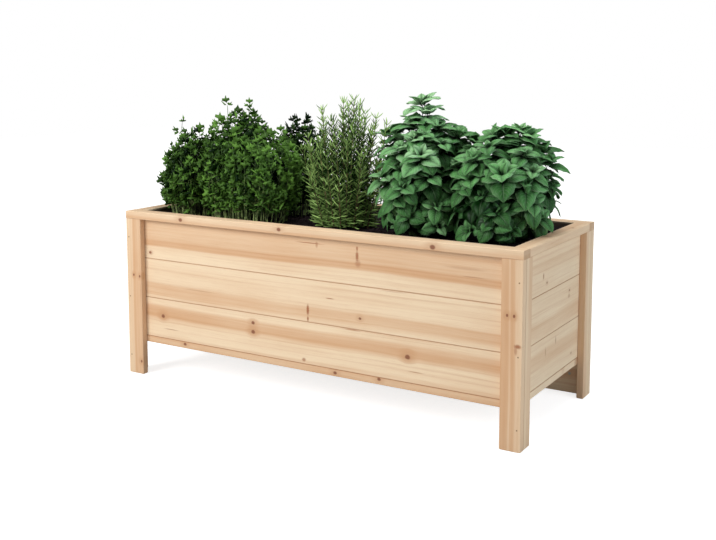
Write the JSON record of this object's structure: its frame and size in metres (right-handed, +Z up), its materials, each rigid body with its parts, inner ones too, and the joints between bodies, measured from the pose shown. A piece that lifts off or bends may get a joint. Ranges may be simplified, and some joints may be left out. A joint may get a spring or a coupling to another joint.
{
  "type": "raised garden bed",
  "caption": "Long low softwood raised garden bed on corner legs, with tongue-and-groove walls, flat rim, slatted floor, lining, soil and planted herbs.",
  "frame": {"origin": "middle of the bed's footprint, on the ground under the legs", "axes": "+X along the length to the right, +Y from the front to the back, +Z up"},
  "size_m": [1.024, 0.422, 0.6784],
  "materials": {
    "rim_wood": "planed pale softwood with broad darker heartwood bands and small knots, untreated",
    "wall_wood": "planed pale softwood boards, cream sapwood and peach-brown heartwood bands, small knots, untreated",
    "leg_wood": "planed pale softwood with upright grain, eased edges, untreated",
    "frame_wood": "planed pale softwood, inner and under side pieces, untreated",
    "dowel_wood": "turned hardwood pins with chamfered ends",
    "nail_steel": "dull flat-headed wire nails, flush with the wood",
    "screw_steel": "zinc-coated countersunk wood screws",
    "liner_fabric": "black non-woven lining felt",
    "potting_soil": "moist dark crumbly potting soil, fully rough",
    "parsley_leaf": "dark green lobed leaflets with a soft sheen on pale green stalks",
    "rosemary_leaf": "grey-green needle leaves with paler undersides on brown woody stems",
    "mint_leaf": "bright to dark green serrated leaves with sunken veins and a soft sheen"
  },
  "bodies": {
    "root": {"back_board_lower": "wall_wood", "back_board_middle": "wall_wood", "back_board_skirt": "wall_wood", "back_board_upper": "wall_wood", "base_rail_back": "frame_wood", "base_rail_front": "frame_wood", "base_rail_left": "frame_wood", "base_rail_right": "frame_wood", "batten_back": "frame_wood", "batten_front": "frame_wood", "batten_screws": "screw_steel", "floor_slat_01": "frame_wood", "floor_slat_02": "frame_wood", "floor_slat_03": "frame_wood", "floor_slat_04": "frame_wood", "floor_slat_05": "frame_wood", "floor_slat_06": "frame_wood", "floor_slat_07": "frame_wood", "floor_slat_08": "frame_wood", "floor_slat_09": "frame_wood", "floor_slat_10": "frame_wood", "floor_slat_11": "frame_wood", "floor_slat_12": "frame_wood", "front_board_lower": "wall_wood", "front_board_middle": "wall_wood", "front_board_upper": "wall_wood", "left_board_lower": "wall_wood", "left_board_middle": "wall_wood", "left_board_upper": "wall_wood", "leg_back_left_face_board": "leg_wood", "leg_back_left_side_board": "leg_wood", "leg_back_right_face_board": "leg_wood", "leg_back_right_side_board": "leg_wood", "leg_front_left_face_board": "leg_wood", "leg_front_left_side_board": "leg_wood", "leg_front_right_face_board": "leg_wood", "leg_front_right_side_board": "leg_wood", "leg_nails": "nail_steel", "liner": "liner_fabric", "mint_middle": "mint_leaf", "mint_right": "mint_leaf", "parsley_back": "parsley_leaf", "parsley_left": "parsley_leaf", "parsley_middle": "parsley_leaf", "rail_screws": "screw_steel", "right_board_lower": "wall_wood", "right_board_middle": "wall_wood", "right_board_upper": "wall_wood", "rim_back": "rim_wood", "rim_dowels": "dowel_wood", "rim_front": "rim_wood", "rim_left": "rim_wood", "rim_right": "rim_wood", "rosemary": "rosemary_leaf", "soil": "potting_soil", "wall_screws": "screw_steel"}
  },
  "joints": []
}
